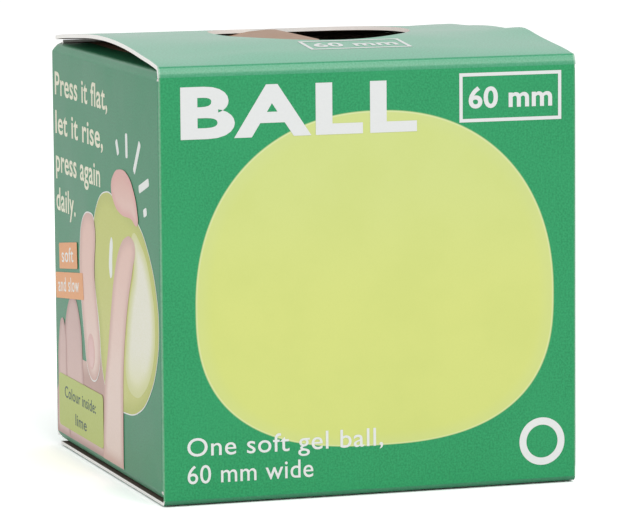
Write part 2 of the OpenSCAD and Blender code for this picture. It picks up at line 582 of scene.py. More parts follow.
def inBallPicture(tree, tone, grain):
    # a life-size ball printed on the front, with a soft edge
    look = pictureLook
    place = objectPlace(tree)
    axes = addNode(tree, "ShaderNodeSeparateXYZ", {"Vector": place})
    sideways = calc(tree, "SUBTRACT", axes.outputs["X"], look["centreX"])
    upward = calc(tree, "SUBTRACT", axes.outputs["Z"], look["beltZ"])
    isAbove = calc(tree, "GREATER_THAN", upward, 0.0)

    def choose(below, above):
        return calc(tree, "ADD", calc(tree, "MULTIPLY", isAbove, above - below), below)

    power = choose(look["powerBelow"], look["powerAbove"])
    reach = choose(look["below"], look["above"])
    partX = calc(tree, "DIVIDE", calc(tree, "ABSOLUTE", sideways), look["halfWidth"])
    partZ = calc(tree, "DIVIDE", calc(tree, "ABSOLUTE", upward), reach)
    total = calc(tree, "ADD", calc(tree, "POWER", partX, power), calc(tree, "POWER", partZ, power))
    ring = calc(tree, "POWER", total, calc(tree, "DIVIDE", 1.0, power))
    cloud = noiseOf(tree, place, 90.0, 3.0)
    ball = mixTone(tree, rangeOf(tree, upward, -5 * mm, 28 * mm), look["middle"], look["top"])
    ball = mixTone(tree, rangeOf(tree, cloud, 0.35, 0.7, 0.0, 0.25), ball, look["shade"])
    ball = mixTone(tree, rangeOf(tree, grain, 0.3, 0.8, 0.0, 0.12), ball, look["shade"])
    ball = mixTone(tree, rangeOf(tree, ring, 0.90, 0.99, 0.0, 0.40), ball, look["rim"])
    offEdge = calc(tree, "ABSOLUTE", calc(tree, "SUBTRACT", ring, look["edgeAt"]))
    line = calc(tree, "SUBTRACT", 1.0, calc(tree, "MULTIPLY", offEdge, look["edgeFineness"]), clamp=True)
    ball = mixTone(tree, calc(tree, "MULTIPLY", line, 0.55), ball, look["edge"])
    return mixTone(tree, rangeOf(tree, ring, look["edgeAt"], look["edgeEnd"], 1.0, 0.0), tone, ball)


flapShape = {
    "tuckTurn": 100.0,
    "tuckFold": 1.0 * mm,
    "tuckCorner": 7 * mm,
    "tuckLength": 14 * mm,
    "tuckTaper": 1.5 * mm,
    "dustCorner": 2.5 * mm,
    "bevelCrease": 0.5 * mm,
    "bevelRun": 0.75 * mm,
    "bevelTurn": 30.0,
    "dustFold": 0.8 * mm,
    "dustLength": 33.5 * mm,
    "dustTaperStart": 1.2 * mm,
    "dustInkRun": 6.0 * mm,
    "dustEndHalf": 14 * mm,
    "curlCuts": 8,
    "curlFrom": 0.35,  # share of the flap's length where its curl starts
    "leftLean": 3.0,
    "rightLean": -1.5,
    "leftCurl": 0.9 * mm,
    "rightCurl": 0.0,
    "shoulderDrop": 0.5 * mm,
    "baseShoulder": 0.25 * mm,
    "shoulderCuts": (0.5 * mm, 1 * mm, 1.6 * mm),  # the last is where the shoulder starts
    "glueTaper": 3 * mm,
    "glueCorner": 0.5 * mm,
}


def dustPath(run, out, foldHeight, lean):
    # foldHeight is measured along out; a narrow bevel leads from the wall to the flap, which
    # leans out by an angle once it is folded in
    shape = flapShape
    runs = [
        (shape["bevelCrease"], -shape["bevelTurn"]),
        (shape["bevelRun"], 0.0),
        (shape["dustFold"], shape["bevelTurn"] + lean - 90.0),
    ]
    foldRun = sum(length for length, turn in runs)
    path = {
        "start": (-halfWidth, 0.0), "heading": 90.0, "run": run, "out": out,
        "runs": runs + [(shape["dustLength"], 0.0)], "foldRun": foldRun,
    }
    inward, rise, heading = walkPath(path, foldRun)
    inward += halfWidth
    slope = math.radians(lean)
    path["start"] = (-halfWidth, foldHeight + inward * math.tan(slope) - rise)
    path["runs"][-1] = (shape["dustLength"] - inward / math.cos(slope), 0.0)
    return path


def buildWalls():
    shape = wallShape
    width, depth = 2 * halfWidth, 2 * halfDepth
    rightTop = dustPath(alongX, alongZ, sideFoldTop, flapShape["rightLean"])["start"][1]
    leftTop = dustPath(alongX, alongZ, sideFoldTop, flapShape["leftLean"])["start"][1]
    sideBase = -dustPath(alongX, -alongZ, -sideFoldBase, 0.0)["start"][1]
    frontBase = shape["baseFold"] + shape["baseLift"]
    walls = {
        "front": (alongX, -alongY, width, halfDepth, frontBase, frontTop, 0.0),
        "right": (alongY, alongX, depth, halfWidth, sideBase, rightTop, 0.0),
        "back": (-alongX, alongY, width, halfDepth, backLow.z, backHigh.z, shape["backCorner"]),
        "left": (-alongY, -alongX, depth, halfWidth, sideBase, leftTop, 0.0),
    }
    for name, (run, out, span, reach, low, high, topCorner) in walls.items():
        path = wallPath(run, out, span, reach)
        length = pathLength(path)
        # walls other than the front take the darker side ink, a painted shade
        printed = printedBoard(
            name + "_print", boardLook["frontInk"] if name == "front" else boardLook["sideShadedInk"],
            creases=(("Y", 0.0, 0.35 * mm, 0.22), ("Y", length, 0.35 * mm, 0.22)),
            picture=inBallPicture if name == "front" else None,
        )
        corners = (
            (-high, 0.0, topCorner), (-low, 0.0, 0), (-low, length, 0), (-high, length, topCorner),
        )
        crossCuts = ()
        warp = None
        if name == "right":
            cuts = shape["bulgeCuts"]
            path["runs"][1:2] = [(path["runs"][1][0] / cuts, 0.0)] * cuts
            cuts = shape["bulgeCrossCuts"]
            crossCuts = [-low - (high - low) * number / cuts for number in range(1, cuts)]

            def warp(across, along):
                # the right side bulges a little
                level = max(0.0, math.sin(math.pi * (-across - low) / (high - low)))
                depthShare = max(0.0, math.sin(math.pi * along / length))
                return alongX * shape["bulge"] * depthShare ** 0.4 * level ** 0.25

        wall = foldBoard("wall_" + name, path, corners, printed, crossCuts=crossCuts, warp=warp)
        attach(wall, "sleeve")
        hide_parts(name + "_panel")
    print("walls folded:", ", ".join(walls))


buildWalls()


# flaps

def buildTuck(name, node, path, ink):
    # a tuck flap: its fold, then a tongue with rounded corners
    shape = flapShape
    length = pathLength(path)
    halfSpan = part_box(node)[1].x
    narrow = halfSpan - shape["tuckTaper"]
    printed = printedBoard(name + "_print", ink, creases=(("Y", 0.05 * length, 0.6 * mm, 0.30),))
    corners = (
        (-halfSpan, 0.0, 0), (halfSpan, 0.0, 0),
        (narrow, length, shape["tuckCorner"]), (-narrow, length, shape["tuckCorner"]),
    )
    flap = foldBoard(name, path, corners, printed)
    foldRun = path["runs"][0][0]
    placeOn(path, 0, 0)
    placeOn(path, 0, foldRun)
    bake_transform(flap)
    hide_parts(node)


def tuckPath(panelPath, out):
    # starts where a panel ends
    ahead, outward, endHeading = walkPath(panelPath, pathLength(panelPath))
    heading = math.degrees(endHeading)
    turn = flapShape["tuckTurn"] + heading
    foldRun = flapShape["tuckFold"] * math.radians(turn)
    tongue = flapShape["tuckLength"] - flapShape["tuckFold"]
    return {
        "start": (ahead, outward), "heading": heading, "run": alongY, "out": out,
        "runs": [(foldRun, -turn), (tongue, 0.0)],
    }


def buildDust(name, node, path, ink, curl=None):
    # a dust flap; curl is how far its free end rises, and without one it is flat and uncut
    shape = flapShape
    low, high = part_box(node)
    sign = path["run"].cross(path["out"]).y
    ends = sorted((sign * low.y, sign * high.y))
    freeEnd = shape["dustEndHalf"]
    length = pathLength(path)
    foldRun = path["foldRun"]
    corner = shape["dustCorner"]
    printed = printedBoard(
        name + "_print", ink, creases=(("Y", 0.8 * foldRun, 0.6 * mm, 0.10),),
        bareFrom=shape["dustInkRun"],
    )
    reach = halfDepth - wallShape["corner"]
    shoulder = 0.8 * foldRun
    taperStart = foldRun + shape["dustTaperStart"]
    corners = (
        (-reach, 0.0, 0), (reach, 0.0, 0), (reach, shoulder, 0), (ends[1], taperStart, 0),
        (freeEnd, length, corner), (-freeEnd, length, corner),
        (ends[0], taperStart, 0), (-reach, shoulder, 0),
    )
    crossCuts = []
    if curl is not None:
        cuts = shape["curlCuts"]
        crossCuts = [halfDepth * number / cuts for number in range(1 - cuts, cuts)]
        path = dict(path, runs=path["runs"][:-1] + [(path["runs"][-1][0] / cuts, 0.0)] * cuts)
    crossCuts += [side * (reach - gap) for side in (-1, 1) for gap in shape["shoulderCuts"]]
    drop = shape["shoulderDrop"] if path["out"].z > 0 else shape["baseShoulder"]
    shoulderRun = shape["shoulderCuts"][-1]

    def warp(across, along):
        # the two ends of the fold are a little lower, like a rounded shoulder
        atEnd = ramp(abs(across), reach - shoulderRun, reach) ** 2
        shift = path["out"] * (-drop * atEnd * smooth(along / foldRun))
        if curl is not None:
            share = max(0.0, along / shape["dustLength"] - shape["curlFrom"]) / (1 - shape["curlFrom"])
            shift += alongZ * curl * share ** 2
        return shift

    flap = foldBoard(name, path, corners, printed, crossCuts=crossCuts, warp=warp)
    placeOn(path, 0, 0)
    placeOn(path, 0, foldRun)
    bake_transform(flap)
    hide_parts(node)


def buildFlaps():
    shape = flapShape
    # the dust flaps take the darker side ink, a painted shade
    ink = boardLook["sideShadedInk"]
    # the lid's tuck flap takes the lid's pale ink with its painted sheen
    buildTuck("lid_tuck", "top_tuck_flap", tuckPath(lidPath, alongZ), boardLook["lidSheenInk"])
    for side, run in (("left", alongX), ("right", -alongX)):
        top = dustPath(run, alongZ, sideFoldTop, shape[side + "Lean"])
        buildDust("dust_" + side, "top_dust_flap_" + side, top, ink, shape[side + "Curl"])
        base = dustPath(run, -alongZ, -sideFoldBase, 0.0)
        buildDust("base_dust_" + side, "bottom_dust_flap_" + side, base, ink)
    print("flaps folded")


buildFlaps()

# the sag starts and ends at these distances from the side edges and from the front fold
baseShape = {
    "runCuts": 12,
    "crossCuts": 14,
    "sagSides": (1 * mm, 7 * mm),
    "sagFront": (0.5 * mm, 8.5 * mm),
}


def buildBase():
    # the bottom panel with its front fold, and its tuck flap
    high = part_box("bottom_lid")[1]
    radius = wallShape["baseFold"]
    lift = wallShape["baseLift"]
    foldRun = radius * math.radians(90)
    flatRun = high.y - flapShape["tuckFold"] + halfDepth - radius
    cuts = baseShape["runCuts"]
    path = {
        "start": (-halfDepth, -radius - lift), "heading": 90.0, "run": alongY, "out": -alongZ,
        "runs": [(foldRun, -90.0)] + [(flatRun / cuts, 0.0)] * cuts,
    }
    sideClear, sideEnd = baseShape["sagSides"]
    frontClear, frontEnd = baseShape["sagFront"]

    def sag(across, along):
        # the middle of the bottom touches the ground; its front and side edges stand clear
        inside = ramp(abs(across), halfWidth - sideClear, halfWidth - sideEnd)
        behind = ramp(along, foldRun + frontClear, foldRun + frontEnd)
        return alongZ * -lift * inside * behind

    length = pathLength(path)
    # the base and its tuck flap take the darker side ink, a painted shade
    ink = boardLook["sideShadedInk"]
    printed = printedBoard("base_print", ink, creases=(("Y", 0.2 * foldRun, 0.4 * mm, 0.04),))
    corners = ((-high.x, 0.0, 0), (high.x, 0.0, 0), (high.x, length, 0), (-high.x, length, 0))
    cuts = baseShape["crossCuts"]
    crossCuts = [high.x * number / cuts for number in range(1 - cuts, cuts)]
    base = foldBoard("base_lid", path, corners, printed, crossCuts=crossCuts, warp=sag)
    placeOn(path, 0, 0)
    placeOn(path, 0, foldRun)
    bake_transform(base)
    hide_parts("bottom_lid")
    buildTuck("base_tuck", "bottom_tuck_flap", tuckPath(path, -alongZ), ink)
    print("base folded")


buildBase()


def buildGlueFlap():
    low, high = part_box("glue_flap")
    taper, corner = flapShape["glueTaper"], flapShape["glueCorner"]
    length = high.y - low.y
    path = {
        "start": (-high.y, -low.x), "heading": 0.0, "run": -alongY, "out": -alongX,
        "runs": [(length, 0.0)],
    }
    printed = rawBoard("glue_print", boardLook["bare"], boardLook["bareDark"], 700.0)
    corners = (
        (-low.z, 0.0, 0), (-high.z, 0.0, 0),
        (-high.z + taper, length, corner), (-low.z - taper, length, corner),
    )
    flap = foldBoard("glue_tab", path, corners, printed)
    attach(flap, "sleeve")
    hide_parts("glue_flap")
    print("glue tab folded")


buildGlueFlap()


# printed marks: thin closed layers of ink

inkLook = {
    "layer": 0.02 * mm,
    "lift": 0.006 * mm,
    "gridStep": 1.3 * mm,
    "mergeDistance": 0.0005 * mm,
    "white": (0.83, 0.845, 0.84),
    "cloudScale": 160.0,
    "cloudShare": 0.35,
    "grainShare": 0.2,
    "grainDepth": 0.86,
}


def inkTone(name, first, second, low, high, rim=None):
    # ink that shades upward from one tone to another between two heights, with a fine grain;
    # rim is the tone at the edge of a soft shape
    look = inkLook
    material, tree, shader = newMaterial(name)
    place = objectPlace(tree)
    axes = addNode(tree, "ShaderNodeSeparateXYZ", {"Vector": place})
    cloud = noiseOf(tree, place, look["cloudScale"], 3.0)
    shift = calc(tree, "MULTIPLY", calc(tree, "SUBTRACT", cloud, 0.5), look["cloudShare"] * (high - low))
    level = calc(tree, "ADD", axes.outputs["Z"], shift)
    tone = mixTone(tree, rangeOf(tree, level, low, high), first, second)
    grain = noiseOf(tree, place, boardLook["grainScale"], 2.0)
    darker = tuple(channel * look["grainDepth"] for channel in first)
    tone = mixTone(tree, rangeOf(tree, grain, 0.3, 0.8, 0.0, look["grainShare"]), tone, darker)
    if rim:
        edge = addNode(tree, "ShaderNodeUVMap", uv_map="rim").outputs["UV"]
        inward = addNode(tree, "ShaderNodeSeparateXYZ", {"Vector": edge}).outputs["X"]
        tone = mixTone(tree, rangeOf(tree, inward, 0.0, 1.0), rim, tone)
    tree.links.new(tone, shader.inputs["Base Color"])
    tree.links.new(rangeOf(tree, grain, 0.2, 0.8, 0.38, 0.5), shader.inputs["Roughness"])
    varnish(shader)
    surface = noiseOf(tree, place, boardLook["surfaceScale"], 3.0)
    addBump(tree, shader, surface, 0.2, boardLook["surfaceDepth"])
    return material


def meshFromCurve(curve):
    holder = bpy.data.objects.new("outline", curve)
    bpy.context.scene.collection.objects.link(holder)
    graph = bpy.context.evaluated_depsgraph_get()
    mesh = bpy.data.meshes.new_from_object(holder.evaluated_get(graph))
    bpy.data.objects.remove(holder)
    return mesh


def addMesh(ink, mesh, matrix):
    mesh.transform(matrix)
    ink.from_mesh(mesh)
    bpy.data.meshes.remove(mesh)


def addWords(ink, words, left, baseline, width, capHeight, bold=0.02, slant=0.0, spread=1.05):
    # words from a left end, fitted to a width and to the height of their capitals
    curve = bpy.data.curves.new("words", "FONT")
    curve.body = words
    curve.space_character = spread
    curve.offset = bold
    curve.resolution_u = 5
    mesh = meshFromCurve(curve)
    lefts = [vert.co.x for vert in mesh.vertices]
    capital = 0.73 + 2 * bold  # height of the font's own capitals
    scale = Matrix.Diagonal((width / (max(lefts) - min(lefts)), capHeight / capital, 1, 1))
    shift = Matrix.Translation((-min(lefts), bold, 0))
    turn = Matrix.Rotation(math.radians(slant), 4, "Z")
    addMesh(ink, mesh, Matrix.Translation((left, baseline, 0)) @ turn @ scale @ shift)


def blobInk(points, soft, grow):
    # a smooth closed shape through a few points in millimetres, trimmed to the side's picture;
    # soft is how far its edge tone reaches in, and grow is how much wider it is than its points
    curve = bpy.data.curves.new("blob", "CURVE")
    curve.dimensions = "2D"
    curve.fill_mode = "BOTH"
    curve.resolution_u = 6
    curve.offset = grow
    spline = curve.splines.new("BEZIER")
    spline.bezier_points.add(len(points) - 1)
    for knot, (u, v) in zip(spline.bezier_points, points):
        knot.co = (u * sideMarks["stretch"], v, 0)
        knot.handle_left_type = "AUTO"
        knot.handle_right_type = "AUTO"
    spline.use_cyclic_u = True
    ink = bmesh.new()
    addMesh(ink, meshFromCurve(curve), Matrix.Scale(mm, 4))
    bmesh.ops.remove_doubles(ink, verts=ink.verts[:], dist=4 * inkLook["mergeDistance"])
    faceUp(ink)
    bmesh.ops.dissolve_faces(ink, faces=ink.faces[:])
    trims = (((0, sideMarks["floor"], 0), (0, -1, 0)), ((sideMarks["left"], 0, 0), (-1, 0, 0)))
    for place, outward in trims:
        everything = ink.verts[:] + ink.edges[:] + ink.faces[:]
        bmesh.ops.bisect_plane(ink, geom=everything, plane_co=place, plane_no=outward, clear_outer=True)
    outline = [edge for edge in ink.edges if edge.is_boundary]
    segments = [(edge.verts[0].co.copy(), edge.verts[1].co.copy()) for edge in outline]
    if soft:
        step = inkLook["gridStep"]
        grid = [number * step for number in range(1, int(2 * halfWidth / step))]
        sliceFlat(ink, grid, (1, 0, 0))
        sliceFlat(ink, grid, (0, 1, 0))
    layer = ink.loops.layers.uv.new("rim")
    for vert in ink.verts:
        share = min(1.0, edgeDistance(vert.co, segments) / soft) if soft else 1.0
        for loop in vert.link_loops:
            loop[layer].uv = (share, 0.0)
    return ink


def edgeDistance(place, segments):
    # how far a place is from the nearest of some straight segments
    nearest = math.inf
    for start, end in segments:
        along = end - start
        share = (place - start).dot(along) / max(along.length_squared, 1e-12)
        nearest = min(nearest, (start + along * min(1.0, max(0.0, share)) - place).length)
    return nearest


def addFlat(ink, patch):
    mesh = bpy.data.meshes.new("patch")
    patch.to_mesh(mesh)
    patch.free()
    ink.from_mesh(mesh)
    bpy.data.meshes.remove(mesh)


def hollowOut(patch, stroke):
    # keeps only an outline of the patch's one face
    patch.normal_update()
    middle = patch.faces[:]
    bmesh.ops.inset_region(patch, faces=middle, thickness=stroke, use_even_offset=True, use_boundary=True)
    bmesh.ops.delete(patch, geom=middle, context="FACES")


def addPatch(ink, corners, radius=0.0, stroke=0.0):
    # a straight-sided patch, with rounded corners, or only its outline
    patch = bmesh.new()
    patch.faces.new([patch.verts.new((u, v, 0)) for u, v in corners])
    if radius:
        bmesh.ops.bevel(
            patch, geom=patch.verts[:], offset=radius, segments=5, profile=0.5, affect="VERTICES",
            material=-1,
        )
    if stroke:
        hollowOut(patch, stroke)
    addFlat(ink, patch)


def addStroke(ink, start, end, width):
    first, last = Vector((*start, 0)), Vector((*end, 0))
    side = (last - first).normalized().cross(alongZ) * width / 2
    corners = [first - side, last - side, last + side, first + side]
    addPatch(ink, [(corner.x, corner.y) for corner in corners], radius=0.3 * width)


def addRing(ink, u, v, radius, stroke):
    patch = bmesh.new()
    centre = Matrix.Translation((u, v, 0))
    bmesh.ops.create_circle(patch, cap_ends=True, segments=64, radius=radius, matrix=centre)
    hollowOut(patch, stroke)
    addFlat(ink, patch)


def onFront(u, v, lift):
    return Vector((u - halfWidth, -halfDepth - lift, v))


def onLeft(u, v, lift):
    return Vector((-halfWidth - lift, halfDepth - u, v))


def onLid(u, v, lift):
    across, along = u - halfWidth, lidAlong(v - halfDepth)
    return placeOn(lidPath, across, along, lift) + lidWarp(across, along)


# where each side's ink is laid, the body it rides on and its finish
printPlaces = {
    "front": (onFront, "sleeve", "printed_front"),
    "left": (onLeft, "sleeve", "printed_side"),
    "lid": (onLid, "lid", "printed_lid"),
}


def printInk(name, ink, side, material, layer=0):
    # lays a flat ink mesh on the board and gives it its thickness
    place, body, finish = printPlaces[side]
    bmesh.ops.remove_doubles(ink, verts=ink.verts[:], dist=inkLook["mergeDistance"])
    faceUp(ink)
    lift = inkLook["lift"] + layer * inkLook["layer"]
    for vert in ink.verts:
        vert.co = place(vert.co.x, vert.co.y, lift)
    piece = newPiece(name, ink, (material,))
    wall = piece.modifiers.new("ink", "SOLIDIFY")
    wall.thickness = inkLook["layer"]
    wall.offset = 1
    settle(piece)
    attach(piece, body)


frontMarks = {
    "title": "BALL",
    "titleAt": (3.6 * mm, 58.4 * mm),
    "titleSize": (39.2 * mm, 8.8 * mm),
    "titleBold": 0.035,
    "titleSpread": 1.12,
    "size": "60 mm",
    "labelAt": ((50.0 * mm, 59.5 * mm), (67.4 * mm, 67.4 * mm)),
    "labelStroke": 0.55 * mm,
    "lines": (
        ("One soft gel ball,", 4.1 * mm, 8.0 * mm, 32.7 * mm),
        ("60 mm wide", 4.1 * mm, 3.6 * mm, 20.9 * mm),
    ),
    "lineHeight": 3.1 * mm,
    "lineBold": 0.004,
    "ringAt": (64.0 * mm, 7.1 * mm),
    "ringRadius": 3.9 * mm,
    "ringStroke": 1.2 * mm,
    "lidLabelAt": ((27.9 * mm, 8.3 * mm), (45.0 * mm, 15.9 * mm)),
    "lidLabelStroke": 0.6 * mm,
    "lidCuts": range(9, 16),
}

# place and size of a label's words, as shares of its box
labelWords = {"left": 0.09, "base": 0.28, "width": 0.82, "height": 0.46, "bold": 0.025}


def addLabel(ink, low, high, stroke, words):
    # an outlined box with a short word in it
    width, height = high[0] - low[0], high[1] - low[1]
    addPatch(ink, [low, (high[0], low[1]), high, (low[0], high[1])], stroke=stroke)
    share = labelWords
    addWords(
        ink, words, low[0] + share["left"] * width, low[1] + share["base"] * height,
        share["width"] * width, share["height"] * height, share["bold"],
    )


def printFront():
    marks = frontMarks
    shade = tuple(0.95 * channel for channel in inkLook["white"])
    white = inkTone("white_ink", inkLook["white"], shade, 0.0, 0.07)
    ink = bmesh.new()
    addLabel(ink, *marks["labelAt"], marks["labelStroke"], marks["size"])
    printInk("front_label", ink, "front", white, 1)
    ink = bmesh.new()
    addWords(
        ink, marks["title"], *marks["titleAt"], *marks["titleSize"], marks["titleBold"],
        spread=marks["titleSpread"],
    )
    printInk("front_title", ink, "front", white, 1)
    ink = bmesh.new()
    for words, left, baseline, width in marks["lines"]:
        addWords(ink, words, left, baseline, width, marks["lineHeight"], marks["lineBold"])
    printInk("front_lines", ink, "front", white, 1)
    ink = bmesh.new()
    addRing(ink, *marks["ringAt"], marks["ringRadius"], marks["ringStroke"])
    printInk("front_ring", ink, "front", white, 1)
    ink = bmesh.new()
    addLabel(ink, *marks["lidLabelAt"], marks["lidLabelStroke"], marks["size"])
    sliceFlat(ink, [number * mm for number in marks["lidCuts"]], (0, 1, 0))
    printInk("lid_label", ink, "lid", white, 1)
    print("front and lid printed")


printFront()


# the picture on the left side: a hand pressing a ball, drawn in plain shapes; places are in
# millimetres from the back lower corner, and are stretched a little to the panel's width

sideMarks = {
    "stretch": 67.0 / 65.6,  # the panel's width over the picture's
    "words": (
        ("Press it flat,", 2.1, 60.6, 33.4), ("let it rise,", 2.1, 54.0, 30.4),
        ("press again", 2.1, 47.5, 28.4), ("daily.", 2.1, 40.9, 12.5),
    ),
    "wordHeight": 4.2,
    "rayWidth": 1.3 * mm,
    "rays": (
        ((40.7, 56.3), (41.9, 54.0)), ((46.8, 57.9), (46.9, 53.9)),
        ((51.1, 52.0), (54.8, 57.1)), ((53.9, 49.5), (59.7, 51.3)), ((56.4, 45.9), (58.3, 46.5)),
    ),
    "left": 0.9 * mm,
    "floor": 2.5 * mm,
    "ringFinger": (
        (5.5, 0.0), (6.0, 15.0), (8.2, 24.6), (12.6, 27.2), (16.4, 23.6), (18.2, 15.0), (20.0, 9.5),
        (30.6, 9.0), (31.5, 3.0), (31.0, -2.0), (18.0, -4.0),
    ),
    "smallFinger": (
        (1.8, -1.0), (1.9, 12.0), (2.6, 19.0), (4.8, 22.6), (6.8, 21.0), (7.6, 14.0), (8.6, 6.0),
        (9.5, -1.0),
    ),
    "palm": (
        (-3.0, -3.0), (0.5, 9.0), (7.5, 15.5), (16.0, 17.0), (22.0, 17.5), (27.0, 20.5), (31.5, 19.0),
        (34.0, 8.0), (33.0, -3.0),
    ),
    "nail": ((22.2, 21.6), (24.0, 22.2), (25.6, 20.4), (25.4, 17.4), (23.6, 16.3), (21.9, 17.8)),
    "glint": ((36.6, 39.5), (37.4, 40.0), (37.6, 36.5), (36.6, 33.2), (35.7, 34.5), (35.9, 37.5)),
    "middleFinger": (
        (23.9, 42.5), (26.4, 41.6), (26.3, 32.0), (28.4, 25.0), (29.3, 20.0), (28.0, 16.2), (24.6, 14.6),
        (21.3, 16.4), (19.6, 21.0), (17.4, 30.0), (17.3, 36.0), (19.2, 41.0),
    ),
    "ball": (
        (34.6, 47.1), (28.8, 44.8), (25.6, 38.6), (26.3, 32.0), (28.8, 25.0), (31.0, 16.5), (34.5, 13.0),
        (43.6, 12.1), (52.9, 13.6), (58.8, 17.1), (63.0, 22.3), (64.5, 28.4), (63.2, 34.0), (59.3, 39.5),
        (53.6, 43.6), (47.0, 45.2), (40.0, 46.4),
    ),
    "paleLobe": (
        (49.5, 41.5), (55.5, 40.4), (60.2, 35.6), (62.6, 28.6), (61.0, 22.0), (56.0, 17.2), (49.5, 15.6),
        (45.5, 17.6), (46.0, 25.0), (48.0, 31.0), (50.8, 37.0),
    ),
    "thumb": (
        (37.5, 48.4), (39.2, 50.6), (42.9, 51.7), (47.3, 51.3), (50.7, 49.2), (53.0, 45.8), (53.2, 43.8),
        (49.3, 44.3), (43.0, 44.5), (39.2, 45.9),
    ),
    "indexFinger": (
        (49.4, 41.2), (51.4, 39.8), (50.0, 36.4), (47.0, 30.6), (45.0, 25.0), (43.7, 19.0), (43.2, 12.0),
        (43.0, 4.0), (42.8, -2.0), (37.0, -4.0), (30.9, -2.0), (30.8, 4.0), (31.4, 10.0), (32.2, 15.2),
        (34.3, 20.9), (36.5, 27.8), (39.0, 34.3), (42.3, 38.9), (45.8, 40.9),
    ),
    "tags": (
        ((3.9, 30.9), (15.6, 32.2), (15.4, 36.7), (3.7, 35.3)),
        ((1.4, 25.6), (19.4, 27.4), (18.9, 31.9), (1.1, 30.0)),
    ),
    "tagCorner": 0.3 * mm,
    "tagWords": (("soft", 5.6, 32.2, 7.6, 6.5), ("and slow", 3.0, 26.9, 13.6, 6.0)),
    "tagWordHeight": 2.6,
    "note": (((2.4, 3.9), (30.9, 3.9), (30.9, 12.9), (2.4, 12.9)),),
    "noteCorner": 1.0 * mm,
    "noteWords": (("Colour inside:", 6.2, 9.1, 20.0), ("lime", 13.0, 5.2, 7.2)),
    "noteWordHeight": 2.1,
}


# name: lower tone, upper tone, the heights between which they change, and any rim tone
sideInks = {
    "cream_ink": ((0.88, 0.86, 0.66), (0.8272, 0.8084, 0.6204), 0.03, 0.07),
    "side_white_ink": ((0.88, 0.90, 0.87), (0.82, 0.86, 0.82), 0.0, 0.07),
    "skin_ink": ((0.74, 0.52, 0.47), (0.62, 0.42, 0.38), 0.004, 0.03, (0.50, 0.30, 0.27)),
    "skin_shade_ink": ((0.60, 0.38, 0.33), (0.52, 0.32, 0.27), 0.004, 0.02, (0.66, 0.46, 0.40)),
    "pale_skin_ink": ((0.86, 0.68, 0.60), (0.80, 0.52, 0.44), 0.010, 0.042, (0.66, 0.42, 0.36)),
    "thumb_ink": ((0.84, 0.62, 0.54), (0.74, 0.40, 0.34), 0.042, 0.052, (0.74, 0.40, 0.36)),
    "nail_ink": ((0.86, 0.62, 0.58), (0.80, 0.50, 0.48), 0.014, 0.022, (0.74, 0.46, 0.42)),
    "lime_ink": ((0.60, 0.62, 0.17), (0.56, 0.60, 0.12), 0.014, 0.044, (0.48, 0.52, 0.10)),
    "pale_ball_ink": ((0.78, 0.78, 0.40), (0.84, 0.83, 0.70), 0.013, 0.024, (0.66, 0.68, 0.30)),
    "orange_ink": ((0.86, 0.38, 0.13), (0.82, 0.35, 0.12), 0.02, 0.04),
    "note_ink": ((0.52, 0.60, 0.13), (0.48, 0.57, 0.12), 0.0, 0.02),
    "dark_ink": ((0.025, 0.075, 0.050), (0.03, 0.09, 0.06), 0.0, 0.02),
}

# piece, outline, ink, layer, how far the rim's tone reaches in, and growth in millimetres
sideShapes = (
    ("side_palm", "palm", "skin_shade_ink", 0, 3.0 * mm, 0.0),
    ("side_ring_finger", "ringFinger", "skin_ink", 1, 1.6 * mm, 0.0),
    ("side_small_finger", "smallFinger", "skin_ink", 2, 1.2 * mm, 0.0),
    ("side_ball_outline", "ball", "side_white_ink", 1, 0.0, 0.2),
    ("side_ball", "ball", "lime_ink", 2, 3.0 * mm, 0.0),
    ("side_middle_outline", "middleFinger", "side_white_ink", 2, 0.0, 0.22),
    ("side_middle_finger", "middleFinger", "pale_skin_ink", 3, 2.4 * mm, 0.0),
    ("side_nail", "nail", "nail_ink", 4, 0.6 * mm, 0.0),
    ("side_ball_shine", "paleLobe", "pale_ball_ink", 3, 3.2 * mm, 0.0),
    ("side_glint", "glint", "side_white_ink", 3, 0.0, 0.0),
    ("side_thumb", "thumb", "thumb_ink", 4, 2.0 * mm, 0.0),
    ("side_index_finger", "indexFinger", "pale_skin_ink", 4, 2.4 * mm, 0.0),
)


def printSide():
    marks = sideMarks
    inks = {name: inkTone(name, *tones) for name, tones in sideInks.items()}

    def onPanel(u, v):
        return u * marks["stretch"] * mm, v * mm

    def printWords(name, key, heightKey, bold, inkName, layer, spread=1.05):
        ink = bmesh.new()
        for words, left, baseline, width, *slant in marks[key]:
            size = onPanel(width, marks[heightKey])
            addWords(ink, words, *onPanel(left, baseline), *size, bold, *slant, spread=spread)
        printInk(name, ink, "left", inks[inkName], layer)

    def printPatches(name, key, radius, inkName, layer):
        ink = bmesh.new()
        for corners in marks[key]:
            addPatch(ink, [onPanel(u, v) for u, v in corners], radius)
        printInk(name, ink, "left", inks[inkName], layer)

    printWords("side_words", "words", "wordHeight", 0.014, "cream_ink", 0)
    ink = bmesh.new()
    for start, end in marks["rays"]:
        addStroke(ink, onPanel(*start), onPanel(*end), marks["rayWidth"])
    printInk("side_rays", ink, "left", inks["side_white_ink"])
    for name, key, inkName, layer, soft, grow in sideShapes:
        printInk(name, blobInk(marks[key], soft, grow), "left", inks[inkName], layer)
    printPatches("side_tags", "tags", marks["tagCorner"], "orange_ink", 5)
    printWords("side_tag_words", "tagWords", "tagWordHeight", 0.006, "side_white_ink", 6, 1.1)
    printPatches("side_note", "note", marks["noteCorner"], "note_ink", 5)
    printWords("side_note_words", "noteWords", "noteWordHeight", 0.008, "dark_ink", 6)
    print("side printed")


printSide()


# the ball: a soft skin, the gel in it and the plug that closes it

